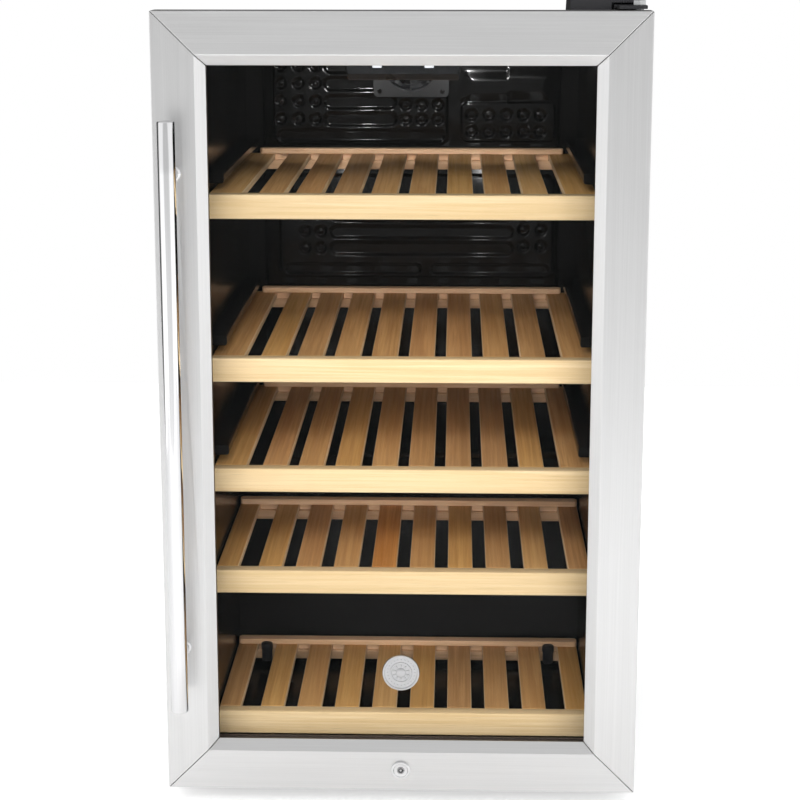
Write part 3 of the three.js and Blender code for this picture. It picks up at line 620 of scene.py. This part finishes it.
# ---- cooling parts -------------------------------------------------------------------
GRILLE_SCREW_X, GRILLE_SCREW_Y, GRILLE_SCREW_Z, GRILLE_SCREW_R = 34, 398, 655, 2.6
WALL_X, WALL_Z = (-164.0, 164.0), (300.0, 690.0)
WALL_BASE, WALL_BACK, WALL_STEP = 428.2, 429.5, 1.25
PLATE_LEVEL, PAD_RISE, POCKET_DEPTH, DIMPLE_RISE = 0.9, 2.0, 2.3, 1.3
RIM = 3.0  # width of a pressed edge
DIMPLE_R, DIMPLE_INSET = 5.6, 3.4
REACH = 2.0  # how far outside its outline a pocket still lowers the wall
BULGE = (60, 152, 646, 672, 3)  # the sloping one at the upper right
BULGE_X, BULGE_Z, BULGE_LEAN, BULGE_RIM = 106, 659, 0.16, 16.0


def dimples(xs, zs):
    return [(x - DIMPLE_R, x + DIMPLE_R, z - DIMPLE_R, z + DIMPLE_R, DIMPLE_R) for x in xs for z in zs]


# Rounded rectangles on the wall: left, right, bottom, top and corner radius.
PADS = [(-152, 39, 595, 720, 9), (55, 158, 598, 641, 7), (-147, 158, 446, 560, 9)]
DIMPLES = [
    *dimples((-144.5, -125, -106), (680.5, 661.3, 641.7, 622.1)),
    *dimples((-6.5, 11, 29), (638, 622)),
    *dimples((66.3, 85.2, 104.5, 123.4, 141.5), (627.2, 609)),
    *dimples((-119, -101.6), (516, 497, 478)),
    *dimples((125, 144.3), (516, 499.4, 481)),
]
CHANNELS = [
    (-96, -17, 634, 648, 7),
    (-96, -17, 615, 629, 7),
    (-96, 34, 654, 668, 7),
    (-96, 34, 673, 687, 7),
    (-148, 36, 598, 610, 6),
    (-90, 113, 490, 503, 6.5),
    (-90, 113, 471, 485, 7),
    (-90, 113, 509, 522, 6.5),
    (-141, 10, 449.5, 460, 5),
    (22, 153, 449.5, 460, 5),
]


def outside(x, z, left, right, bottom, top, r):
    """How far a point is outside a rounded rectangle; negative inside."""
    dx = abs(x - (left + right) / 2) - (right - left) / 2 + r
    dz = abs(z - (bottom + top) / 2) - (top - bottom) / 2 + r
    return math.hypot(max(dx, 0), max(dz, 0)) + min(max(dx, dz), 0) - r


def ease(distance, width):
    """From 1 inside an edge to 0 outside it, over the given width."""
    t = min(max(0.5 - distance / width, 0.0), 1.0)
    return t * t * (3 - 2 * t)


def wall_height(x, z):
    """Millimetres that the pressed wall stands forward of its lowest level."""
    h = PLATE_LEVEL
    for pad in PADS:
        h = max(h, PLATE_LEVEL + PAD_RISE * ease(outside(x, z, *pad), RIM))
    lean = (z - BULGE_Z) * BULGE_LEAN * (1 if x < BULGE_X else -1)
    h = max(h, PLATE_LEVEL + PAD_RISE * ease(outside(x, z, *BULGE) + lean, BULGE_RIM))
    for pockets, rise in ((DIMPLES, DIMPLE_RISE), (CHANNELS, 0.0)):
        for pocket in pockets:
            d = outside(x, z, *pocket)
            if d < REACH:
                h -= POCKET_DEPTH * ease(d, RIM)
                h += rise * ease(d + DIMPLE_INSET, RIM)
    return h


def evaporator():
    """The pressed wall as one relief, its rim turned back and closed behind."""
    (x0, x1), (z0, z1) = WALL_X, WALL_Z
    nx, nz = round((x1 - x0) / WALL_STEP), round((z1 - z0) / WALL_STEP)
    bm = bmesh.new()
    rows = []
    for j in range(nz + 1):
        z = z0 + (z1 - z0) * j / nz
        rows.append([])
        for i in range(nx + 1):
            x = x0 + (x1 - x0) * i / nx
            edge = min(x - x0, x1 - x, z - z0, z1 - z, RIM) / RIM
            rows[-1].append(bm.verts.new(pt(x, WALL_BASE - max(wall_height(x, z), 0.0) * edge, z)))
    for a, b in zip(rows, rows[1:]):
        for i in range(nx):
            bm.faces.new((a[i], a[i + 1], b[i + 1], b[i]))
    rim = bmesh.ops.extrude_edge_only(bm, edges=[e for e in bm.edges if e.is_boundary])
    for v in [v for v in rim["geom"] if isinstance(v, bmesh.types.BMVert)]:
        v.co.y = pt(0, WALL_BACK, 0).y
    bmesh.ops.contextual_create(bm, geom=[e for e in bm.edges if e.is_boundary])
    finish_mesh("evaporator_pressed_wall", outward(bm), "cabinet", PLATE_M, ["evaporator_plate"],
                angle=60)


def fan():
    """The square grille with its two screws, the frame and the rotor."""
    for side, sign in (("left", -1), ("right", 1)):
        place = (sign * GRILLE_SCREW_X, GRILLE_SCREW_Y, GRILLE_SCREW_Z)
        screw(f"fan_grille_screw_{side}", place, -1, GRILLE_SCREW_R, LINER_M)
    soften("fan_grille", GRILLE_M, 0.4, 2)
    soften("fan_frame", BLACK_AND_SHADE_M, 0.5, 2)
    soften("fan_rotor", BLACK_AND_SHADE_M, 0.25, 1)


def machine_parts():
    """What stands in the compartment behind the lower shelves."""
    soften("drip_tray", BLACK_AND_SHADE_M, 0.6)
    soften("compressor", COOL_M, 0.8, 2, angle=40.0)
    soften("condenser_coil", COOL_M, 0.1, 1, angle=60.0)
    soften("filter_drier", COPPER, 0.3, 1, angle=50.0)


fan()
evaporator()
machine_parts()

# ---- camera --------------------------------------------------------------------------
CAMERA_AT = (0.0492, -1.9608, 0.820)
CAMERA_YAW, CAMERA_DOWN = math.radians(-1.64), math.radians(11.99)
CAMERA_LENS, CAMERA_SHIFT = 88.1, -0.06
scene = bpy.context.scene


def add_object(name, data):
    ob = bpy.data.objects.new(name, data)
    scene.collection.objects.link(ob)
    return ob


def facing(direction):
    """The rotation that turns a camera or lamp to look along direction."""
    return Vector(direction).to_track_quat("-Z", "Y").to_euler()


def camera():
    cam = add_object("camera", bpy.data.cameras.new("camera"))
    cam.data.sensor_width = 36
    cam.data.lens = CAMERA_LENS
    cam.data.shift_y = CAMERA_SHIFT
    cam.location = CAMERA_AT
    ahead = math.cos(CAMERA_DOWN)
    aim = (math.sin(CAMERA_YAW) * ahead, math.cos(CAMERA_YAW) * ahead, -math.sin(CAMERA_DOWN))
    cam.rotation_euler = facing(aim)
    scene.camera = cam


# ---- lamps ---------------------------------------------------------------------------
# Soft boxes: name, place, target, size, watts and spread in degrees.
SOFT_BOXES = (
    ("key", (-0.75, -2.6, 1.40), (0, 0, 0.34), (1.4, 1.4), 34.5, 180),
    ("fill", (0.95, -2.4, 0.80), (0, 0, 0.30), (1.2, 1.2), 23.5, 180),
    ("window", (0.05, -2.1, 1.55), (0, 0.05, 0.35), (0.8, 0.5), 1.6, 60),
    ("top", (0, 0.1, 2.4), (0, 0, 0.4), (1.8, 1.8), 22, 180),
)
# Strips behind the door above each shelf: level in metres and watts.
SHELF_GLOWS = ((0.706, 0.07), (0.556, 0.035), (0.402, 0.02), (0.294, 0.015), (0.190, 0.015))
GLOW_Y, GLOW_TARGET_Y, GLOW_DROP, GLOW_SIZE = -0.128, 0.12, 0.09, (0.30, 0.008)
# Small lamps that give the pressed wall its highlights: x and level in millimetres, and watts.
WALL_GLINTS = ((-58, 700, 0.07), (58, 700, 0.07), (-80, 548, 0.018), (80, 548, 0.018))
GLINT_Y, GLINT_TARGET_Y, GLINT_DROP, GLINT_SIZE, GLINT_SPREAD = 225, 428, 42, (0.008, 0.024), 85


def lamp(name, where, towards, size, power, spread=180):
    data = bpy.data.lights.new(name, "AREA")
    data.shape = "RECTANGLE"
    data.size, data.size_y = size
    data.energy = power
    data.spread = math.radians(spread)
    ob = add_object(name, data)
    ob.location = where
    ob.rotation_euler = facing(Vector(towards) - Vector(where))
    return ob


def lamps():
    """Soft boxes that don't show in reflections, and small lamps inside the cavity."""
    for box in SOFT_BOXES:
        lamp(*box).visible_glossy = False
    for number, (level, power) in enumerate(SHELF_GLOWS):
        target = (0, GLOW_TARGET_Y, level - GLOW_DROP)
        glow = lamp(f"shelf_glow_{number}", (0, GLOW_Y, level), target, GLOW_SIZE, power)
        glow.visible_camera = False
    for number, (x, level, power) in enumerate(WALL_GLINTS):
        target = pt(x * 1.5, GLINT_TARGET_Y, level - GLINT_DROP)
        glint = lamp(f"wall_glint_{number}", pt(x, GLINT_Y, level), target, GLINT_SIZE, power, GLINT_SPREAD)
        glint.visible_camera = False


# ---- surroundings --------------------------------------------------------------------
AMBIENT, BACKDROP = 0.62, 1.0
FLOOR_HALF, FLOOR_LEVEL, FLOOR_GREY = 1.6, -0.0002, 0.82
FLOOR_SEEN, FLOOR_MIRRORED = 0.45, 0.07


def studio():
    """White for the camera, even grey light, and a glossy strength that depends on direction."""
    world = bpy.data.worlds.new("studio")
    scene.world = world
    tree = Tree(world)
    out = tree.n("ShaderNodeOutputWorld")
    path = tree.n("ShaderNodeLightPath")
    direction = tree.n("ShaderNodeSeparateXYZ")
    tree.link(tree.n("ShaderNodeTexCoord").outputs["Generated"], direction.inputs[0])
    back, up = direction.outputs[1], direction.outputs[2]

    side_glow = tree.range(back, -0.88, -0.74, 0.91, 1.5, "SMOOTHSTEP")
    rear_fall = tree.range(back, 0.0, 0.42, 1.0, 0.08, "SMOOTHSTEP")
    low_glow = tree.range(up, -0.30, -0.03, 1.12, 0.66, "SMOOTHSTEP")
    high_fall = tree.range(up, 0.25, 0.75, 1.0, 0.72, "SMOOTHSTEP")
    around = tree.math("MULTIPLY", side_glow, rear_fall)
    above = tree.math("MULTIPLY", low_glow, high_fall)

    ambient, seen, shine = (tree.n("ShaderNodeBackground") for _ in range(3))
    for node in (ambient, seen, shine):
        node.inputs[0].default_value = rgba(1)
    ambient.inputs[1].default_value = AMBIENT
    seen.inputs[1].default_value = BACKDROP
    tree.link(tree.math("MULTIPLY", around, above), shine.inputs[1])

    light = ambient
    for ray, source in (("Is Glossy Ray", shine), ("Is Camera Ray", seen)):
        choice = tree.n("ShaderNodeMixShader")
        tree.link(path.outputs[ray], choice.inputs[0])
        tree.link(light.outputs[0], choice.inputs[1])
        tree.link(source.outputs[0], choice.inputs[2])
        light = choice
    tree.link(light.outputs[0], out.inputs[0])


def floor():
    """A pale floor, lifted to white where the camera sees it and a little in reflections."""
    m = Mat("floor_white", Base_Color=FLOOR_GREY, Roughness=0.9, Specular_IOR_Level=0.1)
    path = m.n("ShaderNodeLightPath")
    seen = m.math("MULTIPLY", path.outputs["Is Camera Ray"], FLOOR_SEEN)
    mirrored = m.math("MULTIPLY", path.outputs["Is Glossy Ray"], FLOOR_MIRRORED)
    glow = m.n("ShaderNodeEmission")
    m.link(m.math("ADD", seen, mirrored), glow.inputs[1])
    both = m.n("ShaderNodeAddShader")
    m.link(m.b.outputs[0], both.inputs[0])
    m.link(glow.outputs[0], both.inputs[1])
    m.link(both.outputs[0], m.out.inputs[0])

    me = bpy.data.meshes.new("floor")
    bm = bmesh.new()
    bmesh.ops.create_grid(bm, x_segments=8, y_segments=8, size=FLOOR_HALF)
    bm.to_mesh(me)
    bm.free()
    me.materials.append(m.m)
    ob = add_object("floor", me)
    ob.location = (0, 0, FLOOR_LEVEL)


camera()
lamps()
studio()
floor()
scene.view_settings.view_transform = "Standard"
